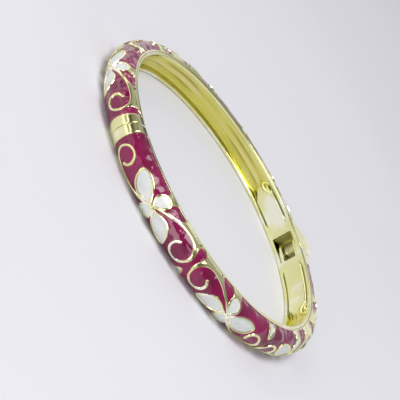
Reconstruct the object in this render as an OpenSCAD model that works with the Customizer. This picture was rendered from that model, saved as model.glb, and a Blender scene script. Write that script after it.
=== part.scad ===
// Hinged bangle in cast metal with a floral scroll in raised wires, filled with crimson and white enamel.
// The ring lies on its side: its axis is Z, its lower side face is at z = 0, the hinge is at +X and the
// opening at -X. The front arm is the half with y < 0, the rear arm the half with y > 0.

/* [Band] */
// Diameter of the wrist opening
inner_d = 58; // [54:0.5:64]
// Width of the band, along the ring's axis
band_w = 6; // [5.9:0.05:6.2]
// Radial thickness of the band
band_t = 4.3; // [4.2:0.05:4.4]
// Radius of the half-round crown
crown_r = 3.06; // [3.04:0.01:3.15]
// Height of the plain rim between the inner face and the enamel
rim_h = 1; // [0.9:0.05:1.1]
// Length of each polished collar at the opening
collar_l = 2.1; // [1.8:0.1:2.4]
// How far the collars stand proud of the crown
collar_rise = 0.12; // [0.05:0.01:0.2]
// Gap between the two collars when the bangle is closed
closed_gap = 0.1; // [0.08:0.02:0.2]

/* [Channel] */
// Depth of the hollow channel inside each arm
channel_d = 1.2; // [0.8:0.1:1.4]
// Width of the channel at the inner face
channel_w = 4.7; // [4.3:0.1:4.9]
// Angle from the hinge at which the rear arm's channel starts
rear_pad = 29; // [26:1:40]
// Angle from the hinge at which the front arm's channel starts
front_pad = 39; // [30:1:45]
// Length that is left solid behind each collar
collar_pad = 2; // [1:0.5:6]

/* [Enamel] */
// Depth of the cells that hold the enamel
cell_d = 0.45; // [0.35:0.05:0.5]
// How far the enamel stays below the wires
enamel_drop = 0.06; // [0.04:0.01:0.1]
// Clearance between the enamel and the metal round it
fill_gap = 0.03; // [0.02:0.01:0.05]
// Width of the raised wires
wire_w = 0.36; // [0.3:0.02:0.4]

/* [Pattern] */
// Flowers on each arm
flowers = 4; // [4]
// Distance from one flower to the next, in degrees round the ring
flower_pitch = 41; // [40:0.5:41.5]
// Angle from the opening to the first flower
first_flower = 27.5; // [27:0.5:28]
// Distance from a flower's centre to the tips of its long petals
petal_l = 6.6; // [6.4:0.05:6.7]
// How far the long petal at the upper scroll leans away from it, in degrees
petal_lean = 12; // [8:1:14]
// Half width of the buds on the rim
bud_w = 1; // [0.8:0.05:1.05]
// How far the buds reach in from the rim
bud_l = 3.6; // [3.3:0.1:3.7]
// How much thicker a scroll is at its shoulder
shoulder_w = 0.4; // [0.2:0.05:0.5]
// Radius of the raised centre of a flower
centre_r = 0.65; // [0.6:0.05:0.7]

/* [Hinge] */
// Radius of the pin's centre line from the ring's axis
pin_x = 31.95; // [31.9:0.05:32.1]
// Diameter of the hinge pin
pin_d = 1.5; // [1.3:0.1:1.6]
// Radius of the rounded cheeks of the rear arm
cheek_r = 2.9; // [2.7:0.05:2.9]
// Thickness of each cheek
cheek_t = 0.85; // [0.8:0.05:0.95]
// Radius of the rounded ears of the front arm
ear_r = 2.2; // [2.1:0.05:2.3]
// Thickness of each ear
ear_t = 0.85; // [0.8:0.05:0.9]
// Inner radius of the curved back that closes the hinge's window
back_r = 2.5; // [2.45:0.05:2.55]
// Side play between an ear and its cheek
side_play = 0.06; // [0.05:0.01:0.1]
// Radial running clearance of the ears on the pin
pin_play = 0.04; // [0.02:0.01:0.08]
// Turns of the torsion spring
spring_turns = 5; // [4:1:5]
// Diameter of the spring wire
spring_wire = 0.36; // [0.3:0.02:0.38]

/* [Hidden] */
$fn = 96;
ri = inner_d / 2;
half_w = band_w / 2;
crown_c = ri + band_t - crown_r;
ring_r = ri + band_t - 0.6;
arc_l = crown_r * asin(half_w / crown_r) * PI / 180;
wall_r = crown_c + sqrt(crown_r * crown_r - half_w * half_w);
cell_v = arc_l + wall_r - ri - rim_h;
deg_mm = 180 / (PI * ring_r);
collar_deg = collar_l * deg_mm;
joint_deg = closed_gap / 2 * deg_mm;
cell_start = collar_deg + 0.15;
cell_end = 168.9;
window_y = 2.55;
web_y = 3.3;
cheek_z = half_w - cheek_t;
cheek_step = 0.05;
ear_z = cheek_z - side_play;
back_t = 0.32;
back_from = 12;
back_to = 84;
tongue_from = -72;
tongue_z = ear_z - ear_t - 0.09;
pin_c = [pin_x, 0];
spring_leg = 1.75;
coil_r = pin_d / 2 + spring_wire / 2 + 0.3;
coil_pitch = (2 * (ear_z - ear_t) - spring_wire - 0.05) / spring_turns;
gold = [0.86, 0.84, 0.55];
crimson = [0.55, 0.08, 0.3];
white = [0.88, 0.9, 0.87];
steel = [0.8, 0.8, 0.62];

// The pattern is given in millimetres round the ring from a flower's centre, and across the band along
// its rounded surface from the middle. These are the centre lines of the scrolls, out towards the rim and
// into their curl: the upper ones, the lower ones and the one next to each collar.
scroll_path = [[0.45, 0.4], [1.6, 1.15], [3.2, 2.05], [4.8, 2.8], [6.4, 3.25], [7.8, 3.4], [9, 3.15],
    [10, 2.45], [10.65, 1.45], [10.8, 0.4], [10.45, -0.7], [9.6, -1.5], [8.5, -1.7], [7.5, -1.3],
    [6.95, -0.45], [7, 0.5], [7.6, 1.2]];
low_path = [[0.45, 0.4], [1.6, 1.15], [3.2, 2.05], [4.8, 2.8], [6.4, 3.25], [7.8, 3.4], [9, 3.2],
    [10, 2.6], [10.55, 1.75], [10.6, 0.8], [10.2, -0.1], [9.4, -0.75], [8.4, -0.85], [7.5, -0.4],
    [7.15, 0.4], [7.4, 1.2]];
end_path = [[0.45, 0.4], [1.6, 1.15], [3.2, 2.05], [5, 2.85], [7, 3.35], [9, 3.4], [10.6, 3.05],
    [11.7, 2.2], [12.15, 1.2], [12, 0.2], [11.4, -0.6], [10.5, -1], [9.5, -0.95], [8.7, -0.4],
    [8.35, 0.4], [8.6, 1.25], [9.3, 1.9]];

// The outlines of the leaves between a scroll and the rim, and of the stem over a short petal.
leaf_path = [[3.4, 2.25], [5.3, 4.1], [4.9, 5.6], [11.3, 5.6], [11, 4.5], [10.65, 3.6], [10.85, 2.3],
    [10.2, 2.2], [9.2, 3.1], [7.8, 3.4], [6.2, 3.2], [4.8, 2.8]];
end_leaf_path = [[3.4, 2.2], [5.6, 4.1], [4.9, 5.6], [12.4, 5.6], [12.1, 4.5], [11.8, 3.5], [12, 2],
    [11.5, 2.3], [10.4, 3.05], [9, 3.4], [7, 3.35], [5, 2.85]];
stem_path = [[-0.8, 2.9], [-0.55, 4], [-0.9, 5.6], [2.3, 5.6], [1.8, 4.2], [1.6, 2.9]];

// Each row of a petal has its distance from the flower's centre and where its two edges are there.
long_rows = [[0.75, -0.15, 0.15], [1.4, -0.7, 0.5], [2.2, -1.35, 1.05], [3.1, -1.85, 1.45], [4, -2.1, 1.5],
    [4.9, -2.2, 1.15], [5.7, -2.1, 0.5], [6.3, -1.85, -0.3], [6.6, -1.6, -0.9]];
short_rows = [[0.3, -0.3, 0.45], [0.9, -0.9, 1.05], [1.6, -1.2, 1.5], [2.3, -1.15, 1.7], [2.9, -0.85, 1.6],
    [3.3, -0.35, 1.2], [3.5, 0.15, 0.75]];

function unit(v) = v / norm(v);
function left(v) = [-v[1], v[0]];
function turned(p, a) = [p[0] * cos(a) - p[1] * sin(a), p[0] * sin(a) + p[1] * cos(a)];
function reversed(v) = [for (i = [len(v) - 1 : -1 : 0]) v[i]];

// Moves a point of the pattern on to the band, and from there to the plane that faces its surface at uc
// along the ring and t degrees up its side.
function flat(p, uc, t) = let (b = min(abs(p[1]), arc_l) / crown_r * 180 / PI, d = (p[0] - uc) * deg_mm,
    r = crown_c + crown_r * cos(b) - max(abs(p[1]) - arc_l, 0), z = sign(p[1]) * crown_r * sin(b),
    x = r * cos(d) - crown_c) [r * sin(d), z * cos(t) - x * sin(t)];

// A smooth curve through a list of points, n steps between neighbours.
function spline(a, b, c, d, t) = 0.5 * (2 * b + (c - a) * t + (2 * a - 5 * b + 4 * c - d) * t * t
    + (3 * b - a - 3 * c + d) * t * t * t);
function smooth(path, n) = let (last = len(path) - 1) concat([for (i = [0 : last - 1], k = [0 : n - 1])
    spline(path[max(i - 1, 0)], path[i], path[i + 1], path[min(i + 2, last)], k / n)], [path[last]]);

// Outline of a ribbon of width w along a path, thicker on its outer side near the point c.
function heading(path, i) = unit(path[min(i + 1, len(path) - 1)] - path[max(i - 1, 0)]);
function thicker(p, c) = shoulder_w * max(0, 1 - pow(norm(p - c) / 2.2, 2));
function ribbon(path, w, c) = concat(
    [for (i = [0 : len(path) - 1]) path[i] + left(heading(path, i)) * (w / 2 + thicker(path[i], c))],
    [for (i = [len(path) - 1 : -1 : 0]) path[i] - left(heading(path, i)) * w / 2]);

// An outline, listed clockwise, moved outwards.
function swollen(points, grow) = [for (i = [0 : len(points) - 1]) let (n = len(points),
    a = points[(i + n - 1) % n], b = points[(i + 1) % n]) points[i] + left(unit(b - a)) * grow];

// A petal's outline from its rows, moved outwards by grow. Rows that become too narrow are left out.
function petal(rows, grow) = let (k = 1.15 * grow, a = rows[0][0], b = rows[len(rows) - 1][0],
    kept = [for (r = rows) if (r[2] - r[1] + 2 * k > 0.24) [r[0] + grow * (2 * (r[0] - a) / (b - a) - 1),
        r[1] - k, r[2] + k]])
    concat([for (r = kept) [r[0], r[2]]], [for (r = reversed(kept)) [r[0], r[1]]]);
function long_petal(grow, lean) = [for (p = petal(long_rows * petal_l / 6.6, grow)) turned(p, -lean)];
function short_petal(grow) = [for (p = petal(short_rows, grow)) [p[1], p[0]]];
function bud(grow) = let (n = 7) [for (s = [1, -1], k = [0 : n - (s > 0 ? 0 : 1)])
    let (t = s > 0 ? k / n : 1 - (k + 1) / n)
    [s * (bud_w * pow(1 - pow(t, 3), 0.75) + (t < 1 ? grow : 0)),
        cell_v + 0.3 - t * (bud_l + 0.3 + 2 * grow)]];

// The point where the line from p touches a circle, on the side given by s.
function touch(p, c, r, s) = let (v = p - c, d = norm(v)) c + turned(unit(v) * r, s * acos(r / d));
function polar(r, a) = [r * cos(a), r * sin(a)];

// The band's section: the crown's arc, cut off by the side walls and the inner face.
module section(r, half, inner) {
    intersection() {
        translate([crown_c, 0]) circle(r = r);
        translate([inner, -half]) square([12, 2 * half]);
    }
}

// Lays a flat shape on the band at angle a, facing t degrees up its side: X runs round the ring.
module seat(a, t) {
    rotate([0, 0, a]) translate([crown_c, 0, 0]) rotate([0, -t, 0]) rotate([90, 0, 90])
        translate([0, 0, 0.2]) linear_extrude(4.6) children();
}

// Runs through the half flowers of an arm: $m mirrors a flower along the ring, $s turns it end for end,
// $upper tells the halves on the ring's upper side, and $last those next to a collar.
module each_half_flower(upper) {
    for (i = [0 : flowers - 1], s = [1, -1]) {
        $a = 180 + first_flower + i * flower_pitch;
        $m = i % 2 == 0 ? 1 : -1;
        $s = s;
        $upper = s == upper;
        $last = i == 0 && s < 0;
        children();
    }
}

// A shape of the pattern whose middle is uc from the flower's centre and t degrees up the side.
module placed(points, uc, t) {
    seat($a + $m * $s * uc * deg_mm, $s * t)
        polygon([for (p = points) let (q = flat(p, uc, t)) [$m * $s * q[0], $s * q[1]]]);
}

// The buds on the rim, halfway between two flowers.
module buds(grow) {
    for (i = [0 : flowers - 2]) let (s = i % 2 == 0 ? -1 : 1)
        seat(180 + first_flower + (i + 0.5) * flower_pitch, s * 62)
        polygon([for (p = bud(grow)) let (q = flat(p, 0, 62)) [q[0], s * q[1]]]);
}

module petals(grow, upper) {
    each_half_flower(upper) {
        placed(long_petal(grow, $upper ? petal_lean : 0), 3.3, $upper ? -20 : -8);
        placed(short_petal(grow), 0.3, 36);
    }
    buds(grow);
}

// Everything that the crimson enamel leaves free.
module relief(grow, upper) {
    w = wire_w + 2 * grow;
    each_half_flower(upper) {
        if ($last) placed(ribbon(smooth(end_path, 2), w, [20, 0]), 7, 20);
        else if ($upper) placed(ribbon(smooth(scroll_path, 2), w, [10.4, 2.1]), 6.5, 17);
        else placed(ribbon(smooth(low_path, 2), w, [10.3, 2.3]), 6.5, 22);
        placed(swollen($last ? end_leaf_path : leaf_path, grow), 7.5, 64);
        placed(swollen(stem_path, grow), 0.8, 70);
    }
    petals(wire_w / 2 + grow, upper);
    for (i = [0 : flowers - 1])
        rotate([0, 0, 180 + first_flower + i * flower_pitch]) rotate([0, 90, 0])
            cylinder(r = centre_r + grow, h = 60);
}

// The layer that the cells take up, with a gap to the metal, up to top beyond the band's surface.
module cell_layer(gap, top) {
    rotate([0, 0, 180 + cell_start + gap * deg_mm])
        rotate_extrude(angle = cell_end - cell_start - 2 * gap * deg_mm) difference() {
            section(crown_r + top, half_w + top, ri + rim_h + gap);
            section(crown_r - cell_d + gap, half_w - cell_d + gap, ri);
        }
}

// The field round the relief of one arm.
module field(gap, top, upper) {
    difference() {
        cell_layer(gap, top);
        relief(gap, upper);
    }
}

// The insides of the petals and buds of one arm.
module fillings(gap, top, upper) {
    intersection() {
        cell_layer(gap, top);
        petals(-wire_w / 2 - gap, upper);
    }
}

// The channel in an arm's inner face, which runs out towards the pad at the hinge.
module channel(pad) {
    stop = collar_deg + collar_pad * deg_mm;
    rotate([0, 0, 180 + stop]) rotate_extrude(angle = 180 - stop - pad)
        polygon([[ri - 1, -channel_w / 2], [ri + 0.2, -channel_w / 2],
            [ri + 0.8 * channel_d, 0.4 - channel_w / 2], [ri + channel_d, 1.2 - channel_w / 2],
            [ri + channel_d, channel_w / 2 - 1.2], [ri + 0.8 * channel_d, channel_w / 2 - 0.4],
            [ri + 0.2, channel_w / 2], [ri - 1, channel_w / 2]]);
    rotate([0, 0, -pad]) translate([ri + channel_d - 8.05, 0, 0])
        cylinder(r = 8, h = channel_w - 0.7, center = true);
}

// The half of the ring with y < 0, from the collar to the hinge, with its channel. It is the front arm's
// half, and the rear arm's is the same half turned over about X.
module half_ring(pad) {
    difference() {
        rotate([0, 0, 180 + joint_deg]) {
            rotate_extrude(angle = 180 - joint_deg) section(crown_r, half_w, ri);
            rotate_extrude(angle = collar_deg - joint_deg) section(crown_r + collar_rise, half_w, ri + 0.8);
        }
        channel(pad);
    }
}

// The cells sunk into that half for the enamel.
module cells(upper) {
    field(0, 0.6, upper);
    fillings(0, 0.6, upper);
}

module mirrored_z() {
    for (m = [0, 1]) mirror([0, 0, m]) children();
}

// A disc at the pin with straight flanks to the points p and q.
module knuckle(r, p, q) {
    circle(r = r);
    polygon([p - pin_c, touch(p, pin_c, r - 0.03, 1) - pin_c, touch(q, pin_c, r - 0.03, -1) - pin_c,
        q - pin_c]);
}

// A curved strip round the pin that reaches h to either side of the middle.
module strip(from, to, h) {
    translate([pin_x, 0, -h]) rotate([0, 0, from]) rotate_extrude(angle = to - from)
        translate([back_r, 0]) square([back_t, 2 * h]);
}

// The curved wall behind the spring, from cheek to cheek, goes on as a tongue between the ears.
module window_back() {
    strip(back_from, back_to, cheek_z + 0.1);
    strip(tongue_from, back_from + 4, tongue_z);
}

module rear_body() {
    difference() {
        union() {
            difference() {
                union() {
                    rotate([180, 0, 0]) half_ring(rear_pad);
                    mirrored_z() translate([pin_x, 0, cheek_z]) linear_extrude(cheek_t - cheek_step)
                        knuckle(cheek_r, polar(ri + 0.12, 7), polar(wall_r - 0.1, 10));
                }
                translate([ri - 1, -6, -cheek_z]) cube([8, 6 + window_y, 2 * cheek_z]);
            }
            window_back();
        }
        translate([pin_x, 0, 0]) cylinder(d = pin_d, h = 2 * band_w, center = true);
        rotate([180, 0, 0]) cells(-1);
    }
}

module front_body() {
    difference() {
        union() {
            difference() {
                half_ring(front_pad);
                translate([ri - 1, -web_y, -ear_z]) cube([8, 6, 2 * ear_z]);
                mirrored_z() translate([pin_x, 0, ear_z])
                    cylinder(r = cheek_r + 0.12, h = half_w);
            }
            mirrored_z() translate([pin_x, 0, ear_z - ear_t]) linear_extrude(ear_t)
                knuckle(ear_r, polar(ri + 3.4, -8), polar(ri + 0.1, -8));
        }
        translate([pin_x, 0, 0]) cylinder(d = pin_d + 2 * pin_play, h = 2 * band_w, center = true);
        cells(1);
    }
}

// The spring's wire as a tube along its own points: a short leg, the turns, and the other leg.
function coil_points() = let (n = 14, total = spring_turns * n, z0 = -coil_pitch * spring_turns / 2)
    concat([[coil_r, -spring_leg, z0], [coil_r, -0.5, z0]],
        [for (i = [0 : total]) let (a = 360 * i / n)
            [coil_r * cos(a), coil_r * sin(a), z0 + coil_pitch * i / n]],
        [[coil_r, 0.5, -z0], [coil_r, spring_leg, -z0]]);
module tube(path, d, sides) {
    last = len(path) - 1;
    points = [for (i = [0 : last]) let (t = unit(path[min(i + 1, last)] - path[max(i - 1, 0)]),
        u = unit(cross(t, [0, 0, 1])), v = cross(u, t))
        for (k = [0 : sides - 1]) path[i] + d / 2 * (u * cos(360 * k / sides) + v * sin(360 * k / sides))];
    polyhedron(points, concat([[for (k = [0 : sides - 1]) k]],
        [for (i = [0 : last - 1], k = [0 : sides - 1]) let (a = i * sides, b = a + sides, k1 = (k + 1) % sides)
            [a + k, b + k, b + k1, a + k1]],
        [[for (k = [sides - 1 : -1 : 0]) last * sides + k]]));
}

module rear_arm() color(gold) translate([0, 0, half_w]) rear_body();
module front_arm() color(gold) translate([0, 0, half_w]) front_body();
module rear_enamel() color(crimson) translate([0, 0, half_w]) rotate([180, 0, 0])
    field(fill_gap, -enamel_drop, -1);
module front_enamel() color(crimson) translate([0, 0, half_w]) field(fill_gap, -enamel_drop, 1);
module rear_petals() color(white) translate([0, 0, half_w]) rotate([180, 0, 0])
    fillings(fill_gap, -enamel_drop, -1);
module front_petals() color(white) translate([0, 0, half_w]) fillings(fill_gap, -enamel_drop, 1);
module hinge_pin() color(steel) translate([pin_x, 0, cheek_step])
    cylinder(d = pin_d, h = band_w - 2 * cheek_step);
module hinge_spring() color(steel) translate([pin_x, 0, half_w]) tube(coil_points(), spring_wire, 8);

rear_arm();
front_arm();
rear_enamel();
front_enamel();
rear_petals();
front_petals();
hinge_pin();
hinge_spring();
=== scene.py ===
import bpy
import math
import numpy as np
from mathutils import Matrix, Vector


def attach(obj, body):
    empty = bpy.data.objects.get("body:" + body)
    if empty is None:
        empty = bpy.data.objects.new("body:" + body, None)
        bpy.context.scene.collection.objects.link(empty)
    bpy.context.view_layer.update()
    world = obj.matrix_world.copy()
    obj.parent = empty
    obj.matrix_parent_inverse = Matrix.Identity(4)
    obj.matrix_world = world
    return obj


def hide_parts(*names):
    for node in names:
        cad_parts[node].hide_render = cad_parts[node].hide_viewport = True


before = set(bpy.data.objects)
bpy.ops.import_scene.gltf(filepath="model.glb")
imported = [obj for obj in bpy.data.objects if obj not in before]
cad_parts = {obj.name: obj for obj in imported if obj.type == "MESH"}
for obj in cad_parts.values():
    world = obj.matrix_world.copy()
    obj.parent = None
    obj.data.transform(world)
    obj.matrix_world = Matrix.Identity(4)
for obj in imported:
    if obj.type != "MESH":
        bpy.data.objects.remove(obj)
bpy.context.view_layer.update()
print("frame loaded")

# Sizes are in millimetres. The relief and the enamel are modelled flat: x runs round the ring from the
# opening to the hinge, y from the middle of the band over its rounded surface and down the side, z out of
# it. wrapOnRing bends them. The arms are swept round the ring.
band = {
    "inner": 29.0,        # radius of the wrist opening
    "half": 3.0,          # half width of the band
    "thick": 4.3,         # from the inner face to the crown's top
    "crown": 3.06,        # radius of the half-round crown
    "rim": 1.0,           # plain rim between the inner face and the enamel
    "collar": 2.1,        # polished collar at the opening
    "collarRise": 0.12,   # how far it stands out of the band
    "collarStep": 0.15,   # degrees of metal between it and the enamel
    "gap": 0.1,           # between the two collars
    "cellEnd": 168.9,     # degrees from the opening where the enamel ends
    "enamelLevel": -0.1,  # enamel below the rims
    "pitch": 41.0,        # degrees from flower to flower
    "first": 27.5,        # degrees from the opening to the first flower
    "flowers": 4,         # on each arm
    "wire": 0.42,         # width of the wires round the petals
    "scrollWire": 0.52,
    "wireFlat": 0.78,     # their height as a share of their width
    "wireLevel": -0.05,   # height of their centre lines
    "trueDepth": 0.6,     # lengths round the ring are true this far below the crown's top
}
mm = 0.001
crownR = band["crown"]
crownC = band["inner"] + band["thick"] - crownR
ringR = band["inner"] + band["thick"] - band["trueDepth"]
arcLength = crownR * math.asin(band["half"] / crownR)
wallTop = crownC + math.sqrt(crownR ** 2 - band["half"] ** 2)
cellHalf = arcLength + wallTop - band["inner"] - band["rim"]
perDegree = ringR * math.pi / 180
cellStart = band["collar"] + band["collarStep"] * perDegree
cellEnd = band["cellEnd"] * perDegree


def deselect():
    if bpy.context.object and bpy.context.object.mode != "OBJECT":
        bpy.ops.object.mode_set(mode="OBJECT")
    bpy.ops.object.select_all(action="DESELECT")


def readCo(obj):
    co = np.empty(len(obj.data.vertices) * 3)
    obj.data.vertices.foreach_get("co", co)
    return co.reshape(-1, 3)


def writeCo(obj, co):
    obj.data.vertices.foreach_set("co", np.ascontiguousarray(co, dtype=np.float64).ravel())
    obj.data.update()


def onlyActive(obj):
    deselect()
    obj.select_set(True)
    bpy.context.view_layer.objects.active = obj


def outward(obj, merge=0.0):
    onlyActive(obj)
    bpy.ops.object.mode_set(mode="EDIT")
    bpy.ops.mesh.select_all(action="SELECT")
    if merge:
        bpy.ops.mesh.remove_doubles(threshold=merge)
    bpy.ops.mesh.normals_make_consistent(inside=False)
    bpy.ops.object.mode_set(mode="OBJECT")


def applyModifier(obj, kind, **settings):
    onlyActive(obj)
    m = obj.modifiers.new(kind.lower(), kind)
    for k, v in settings.items():
        setattr(m, k, v)
    bpy.ops.object.modifier_apply(modifier=m.name)


def thicken(obj, thickness, merge=0.0):
    # an open sheet is turned face up and gets this thickness downwards
    outward(obj, merge)
    if sum(p.normal[2] for p in obj.data.polygons) < 0:
        obj.data.flip_normals()
    applyModifier(obj, "SOLIDIFY", thickness=thickness, offset=-1)


def bevelEdges(obj, width, segments, angle=60):
    applyModifier(obj, "BEVEL", width=width, segments=segments, limit_method="ANGLE",
                  angle_limit=math.radians(angle))


def finishPiece(obj, name, finish, smoothAngle):
    obj.name = obj.data.name = name
    obj.data.materials.clear()
    obj.data.materials.append(finish)
    onlyActive(obj)
    bpy.ops.object.shade_smooth_by_angle(angle=math.radians(smoothAngle))


def addLayer(obj, name, values):
    # a number at each vertex, for a material to read
    layer = obj.data.attributes.new(name, "FLOAT", "POINT")
    layer.data.foreach_set("value", values.astype(np.float32))


def joinAll(objs):
    deselect()
    for o in objs:
        o.select_set(True)
    bpy.context.view_layer.objects.active = objs[0]
    bpy.ops.object.join()
    return objs[0]


def copyOf(obj):
    new = obj.copy()
    new.data = obj.data.copy()
    bpy.context.collection.objects.link(new)
    return new


def addGrid(nx, ny):
    # a unit grid; returns it with each vertex's share along and across
    deselect()
    bpy.ops.mesh.primitive_grid_add(x_subdivisions=nx, y_subdivisions=ny, size=2)
    obj = bpy.context.active_object
    co = readCo(obj)
    return obj, (co[:, 0] + 1) / 2, (co[:, 1] + 1) / 2


def addOutline(points, height):
    # a flat face with this outline, extruded upwards
    deselect()
    bpy.ops.mesh.primitive_circle_add(vertices=len(points), radius=1, fill_type="NGON")
    obj = bpy.context.active_object
    co = np.array(points, float)
    writeCo(obj, np.column_stack([co, np.zeros(len(co))]))
    bpy.ops.object.mode_set(mode="EDIT")
    bpy.ops.mesh.select_all(action="SELECT")
    bpy.ops.mesh.extrude_region_move(TRANSFORM_OT_translate={"value": (0, 0, height)})
    bpy.ops.object.mode_set(mode="OBJECT")
    outward(obj)
    return obj


def addTube(path, radius, resolution, closed=False, taper=None):
    # a round tube along a path in space
    curve = bpy.data.curves.new("tube", "CURVE")
    curve.dimensions = "3D"
    curve.bevel_depth = radius
    curve.bevel_resolution = resolution
    curve.use_fill_caps = True
    line = curve.splines.new("POLY")
    line.points.add(len(path) - 1)
    for i, p in enumerate(path):
        line.points[i].co = (*p, 1)
        line.points[i].radius = 1 if taper is None else taper[i]
    line.use_cyclic_u = closed
    obj = bpy.data.objects.new("tube", curve)
    bpy.context.collection.objects.link(obj)
    onlyActive(obj)
    bpy.ops.object.convert(target="MESH")
    return bpy.context.active_object


def addWire(path, width, closed=False, taper=None):
    # a low rounded wire along a flat path; where taper makes it wider it gets no higher
    obj = addTube([(x, y, 0) for x, y in path], width / 2, 2, closed, taper)
    co = readCo(obj)
    if taper is not None:
        nearest = ((co[:, None, :2] - np.array(path)[None]) ** 2).sum(2).argmin(1)
        co[:, 2] /= np.maximum(np.array(taper)[nearest], 1)
    co[:, 2] = co[:, 2] * band["wireFlat"] + band["wireLevel"]
    writeCo(obj, co)
    return obj


def step(x, a, b):
    t = np.clip((x - a) / (b - a), 0, 1)
    return t * t * (3 - 2 * t)


def turned(p, degrees):
    c, s = math.cos(math.radians(degrees)), math.sin(math.radians(degrees))
    return np.array(p) @ np.array([[c, s], [-s, c]])


def onBand(v, h):
    # radius and height of a point h out of the band's surface, v round its section from the middle
    a, side = np.abs(v), np.where(v < 0, -1.0, 1.0)
    b = np.minimum(a, arcLength) / crownR
    # outwards turns from the crown's own direction to the side's near the edge between them
    n = b + (math.pi / 2 - b) * step(a, arcLength - 0.4, arcLength + 0.2)
    r = crownC + crownR * np.cos(b) - np.maximum(a - arcLength, 0) + h * np.cos(n)
    z = np.minimum(crownR * np.sin(b) + h * np.sin(n), band["half"])
    return r, z * side


def wrapOnRing(obj, arm):
    # bends a flat piece on to the front or the rear arm
    co = readCo(obj)
    angle = math.pi + co[:, 0] / ringR
    r, z = onBand(co[:, 1], co[:, 2])
    writeCo(obj, np.column_stack([r * np.cos(angle), r * np.sin(angle), z]))
    placeOnArm(obj, arm)


def placeOnArm(obj, arm):
    # from the front arm's millimetres to the row frame; the rear arm is the same turned over about X
    co = readCo(obj)
    if arm == "rear":
        co = co * [1, -1, -1]
    writeCo(obj, (co + [0, 0, band["half"]]) * mm)


class Shade:
    def __init__(self, tree, socket=None):
        self.tree, self.socket = tree, socket

    def node(self, kind, settings=None, links=None, out=0):
        n = self.tree.nodes.new(kind)
        for k, v in (settings or {}).items():
            if k == "stops":
                ramp = n.color_ramp
                while len(ramp.elements) < len(v):
                    ramp.elements.new(0.5)
                for e, (at, colour) in zip(ramp.elements, v):
                    e.position, e.color = at, (*colour, 1) if len(colour) == 3 else colour
            else:
                setattr(n, k, v)
        for k, v in (links or {}).items():
            if isinstance(v, Shade):
                self.tree.links.new(v.socket, n.inputs[k])
            else:
                n.inputs[k].default_value = v
        return Shade(self.tree, n.outputs[out]) if len(n.outputs) else None

    def maths(self, operation, a, b=0.0, clamp=False):
        return self.node("ShaderNodeMath", {"operation": operation, "use_clamp": clamp}, {0: a, 1: b})

    def __add__(self, other):
        return self.maths("ADD", self, other)

    def __radd__(self, other):
        return self.maths("ADD", other, self)

    def __sub__(self, other):
        return self.maths("SUBTRACT", self, other)

    def __rsub__(self, other):
        return self.maths("SUBTRACT", other, self)

    def __mul__(self, other):
        return self.maths("MULTIPLY", self, other)

    def __rmul__(self, other):
        return self.maths("MULTIPLY", other, self)

    def __truediv__(self, other):
        return self.maths("DIVIDE", self, other)

    def __pow__(self, other):
        return self.maths("POWER", self, other)

    def limited(self):
        return self.maths("ADD", self, 0.0, clamp=True)

    def between(self, low, high):
        # rises smoothly from 0 at low to 1 at high, or falls where high is the lower one
        return self.node("ShaderNodeMapRange", {"interpolation_type": "SMOOTHSTEP"},
                         {"Value": self, "From Min": low, "From Max": high})

    def past(self, edge, soft):
        return self.between(edge - soft, edge + soft)

    def upTo(self, edge, soft):
        return self.between(edge + soft, edge - soft)

    def within(self, a, b, c, d):
        # 1 from b to c, and 0 below a and above d
        return self.between(a, b) * self.between(d, c)

    def mixed(self, a, b):
        # colour a where this is 0, colour b where it is 1
        return self.node("ShaderNodeMix", {"data_type": "RGBA"}, {0: self, 6: a, 7: b}, out=2)


def noise(s, at, scale, detail, **more):
    return s.node("ShaderNodeTexNoise", None, {"Vector": at, "Scale": scale, "Detail": detail, **more})


def bumpOf(s, height, strength, distance):
    settings = {"Height": height, "Strength": strength, "Distance": distance * mm}
    return s.node("ShaderNodeBump", None, settings)


def opaque(colour):
    return (*colour, 1)


def newMaterial(name):
    m = bpy.data.materials.new(name)
    m.use_nodes = True
    m.node_tree.nodes.clear()
    return m, Shade(m.node_tree)


def finishMaterial(s, **inputs):
    shader = s.node("ShaderNodeBsdfPrincipled", None, {k.replace("_", " "): v for k, v in inputs.items()})
    s.node("ShaderNodeOutputMaterial", None, {"Surface": shader})


gold = {
    "colour": (0.92, 0.90, 0.50),
    "deep": (0.86, 0.83, 0.38),
    # pale cream for patches scattered at random by the tone noise: painted highlights
    "pale": (1.0, 0.99, 0.80),
    # olive of the hollow channel: painted shade, darker and greener than the plain gold
    "channel": (0.74, 0.68, 0.12),
    "window": (0.92, 0.88, 0.40),
    # near-black in the grooves beside the pad: painted shade
    "groove": (0.26, 0.25, 0.08),
    # painted reflections and painted shade across the hollow channel, from its lower to its upper lip: pale
    # and tan stripes for reflections, dark lines for shade
    "rows": [(0.0, (0.80, 0.75, 0.30)), (0.12, (0.74, 0.68, 0.12)), (0.33, (0.56, 0.50, 0.06)),
             (0.38, (0.30, 0.26, 0.02)), (0.44, (0.80, 0.74, 0.18)), (0.56, (0.82, 0.68, 0.38)),
             (0.64, (0.60, 0.54, 0.10)), (0.70, (0.28, 0.25, 0.02)), (0.76, (0.66, 0.60, 0.14)),
             (0.92, (0.86, 0.82, 0.42))],
    "rowWander": 0.14,    # how far the streaks move them, as a share of the channel's width
    "streak": 0.0022,     # metres to a radian, so that the streaks are 13 times as long as wide
    "roughness": 0.12,
    # the walls in the hinge's window are left as cast, mm: from this place out, this far from the middle
    # and along the ring; its two ears are polished
    "castFrom": 29.2,
    "castHalf": 2.2,
    "castLength": 3.55,
    "earFrom": 1.15,
    "earTo": 2.12,
    "earR": 2.35,
    "castRoughness": 0.42,
}


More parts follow.
